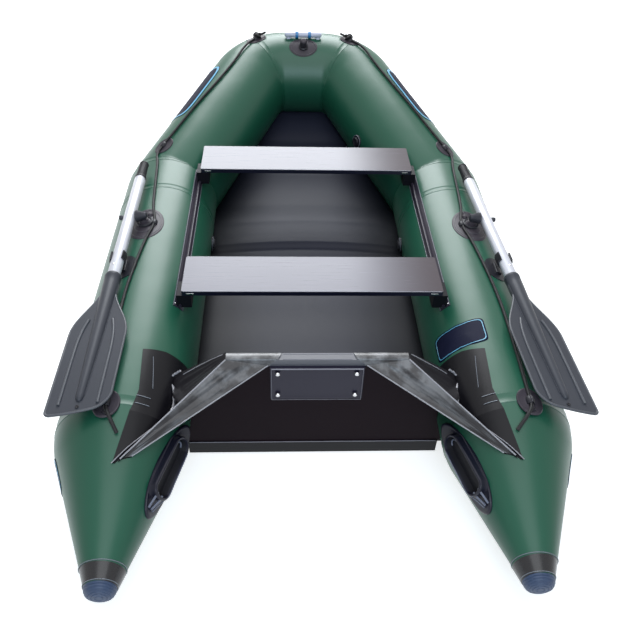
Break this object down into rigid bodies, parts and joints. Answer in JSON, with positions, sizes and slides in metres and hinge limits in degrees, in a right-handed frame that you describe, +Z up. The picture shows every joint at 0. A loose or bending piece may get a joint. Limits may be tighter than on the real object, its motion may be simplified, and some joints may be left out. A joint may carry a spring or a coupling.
{
  "type": "inflatable boat",
  "caption": "Inflatable dinghy with keeled floor, plywood transom with motor plate, sliding bench seats and a pair of oars in rowlocks.",
  "frame": {"origin": "on the floor that the boat stands on, under the middle of its length and width", "axes": "+Y to the bow, +X to starboard, +Z up"},
  "size_m": [1.54, 2.77, 0.628],
  "materials": {
    "tube_fabric": "semi-gloss coated fabric",
    "bottom_fabric": "semi-gloss coated fabric",
    "floor_fabric": "glossy coated fabric",
    "black_fabric": "semi-gloss coated fabric",
    "cover_fabric": "semi-gloss coated fabric with folds",
    "cap_plastic": "moulded, satin",
    "transom_plywood": "film-faced plywood",
    "grey_strip": "satin",
    "plate_plastic": "satin",
    "rail_plastic": "satin",
    "moulded_pvc": "moulded, semi-gloss",
    "rope": "braided",
    "oarlock_pvc": "moulded, semi-gloss",
    "handle_plastic": "smooth",
    "badge_vinyl": "glossy film",
    "plate_vinyl": "glossy film",
    "seat_plywood": "film-faced plywood",
    "slide_plastic": "satin",
    "rowlock_plastic": "satin",
    "oar_aluminium": "satin anodised",
    "grip_plastic": "satin",
    "blade_plastic": "moulded, satin",
    "keeper_rubber": "matt"
  },
  "bodies": {
    "hull": {"tube_bow": "tube_fabric", "tube_starboard": "tube_fabric", "tube_port": "tube_fabric", "hull_bottom": "bottom_fabric", "floor_skin": "floor_fabric", "wear_bands": "black_fabric", "end_cap_starboard": "cap_plastic", "end_cap_port": "cap_plastic", "transom_board": "transom_plywood", "transom_top_strip": "grey_strip", "transom_foot_strip": "black_fabric", "motor_plate_outer": "plate_plastic", "motor_plate_inner": "plate_plastic", "transom_patch_starboard": "black_fabric", "transom_patch_port": "black_fabric", "transom_cover_starboard": "cover_fabric", "transom_cover_port": "cover_fabric", "seat_rail_starboard": "rail_plastic", "seat_rail_port": "rail_plastic", "rope_eyes": "moulded_pvc", "lifeline_starboard": "rope", "lifeline_port": "rope", "oarlock_base_starboard": "oarlock_pvc", "oarlock_base_port": "oarlock_pvc", "oar_rest_starboard": "moulded_pvc", "oar_rest_port": "moulded_pvc", "carry_handle_starboard": "moulded_pvc", "carry_handle_port": "moulded_pvc", "bow_eye": "moulded_pvc", "bow_handle": "handle_plastic", "bow_handle_collars": "moulded_pvc", "badges": "badge_vinyl", "capacity_plate": "plate_vinyl", "valves": "moulded_pvc"},
    "seat_front": {"seat_board_front": "seat_plywood", "seat_slides_front": "slide_plastic"},
    "seat_rear": {"seat_board_rear": "seat_plywood", "seat_slides_rear": "slide_plastic"},
    "oar_starboard": {"rowlock_starboard": "rowlock_plastic", "oar_shaft_starboard": "oar_aluminium", "oar_grip_starboard": "grip_plastic", "oar_blade_starboard": "blade_plastic", "oar_keeper_starboard": "keeper_rubber"},
    "oar_port": {"rowlock_port": "rowlock_plastic", "oar_shaft_port": "oar_aluminium", "oar_grip_port": "grip_plastic", "oar_blade_port": "blade_plastic", "oar_keeper_port": "keeper_rubber"}
  },
  "joints": [
    {"name": "front_seat_slide", "type": "slide", "parent": "hull", "child": "seat_front", "axis": [0, 1, 0], "range_m": [-0.3, 0]},
    {"name": "rear_seat_slide", "type": "slide", "parent": "hull", "child": "seat_rear", "axis": [0, 1, 0], "range_m": [0, 0.25]},
    {"name": "oar_swing_starboard", "type": "hinge", "parent": "hull", "child": "oar_starboard", "pos_m": [0.59944, -0.066, 0.37815], "axis": [0.1392, 0, 0.9903], "range_deg": [0, 130]},
    {"name": "oar_swing_port", "type": "hinge", "parent": "hull", "child": "oar_port", "pos_m": [-0.59944, -0.066, 0.37815], "axis": [-0.1392, 0, 0.9903], "range_deg": [-130, 0]}
  ]
}
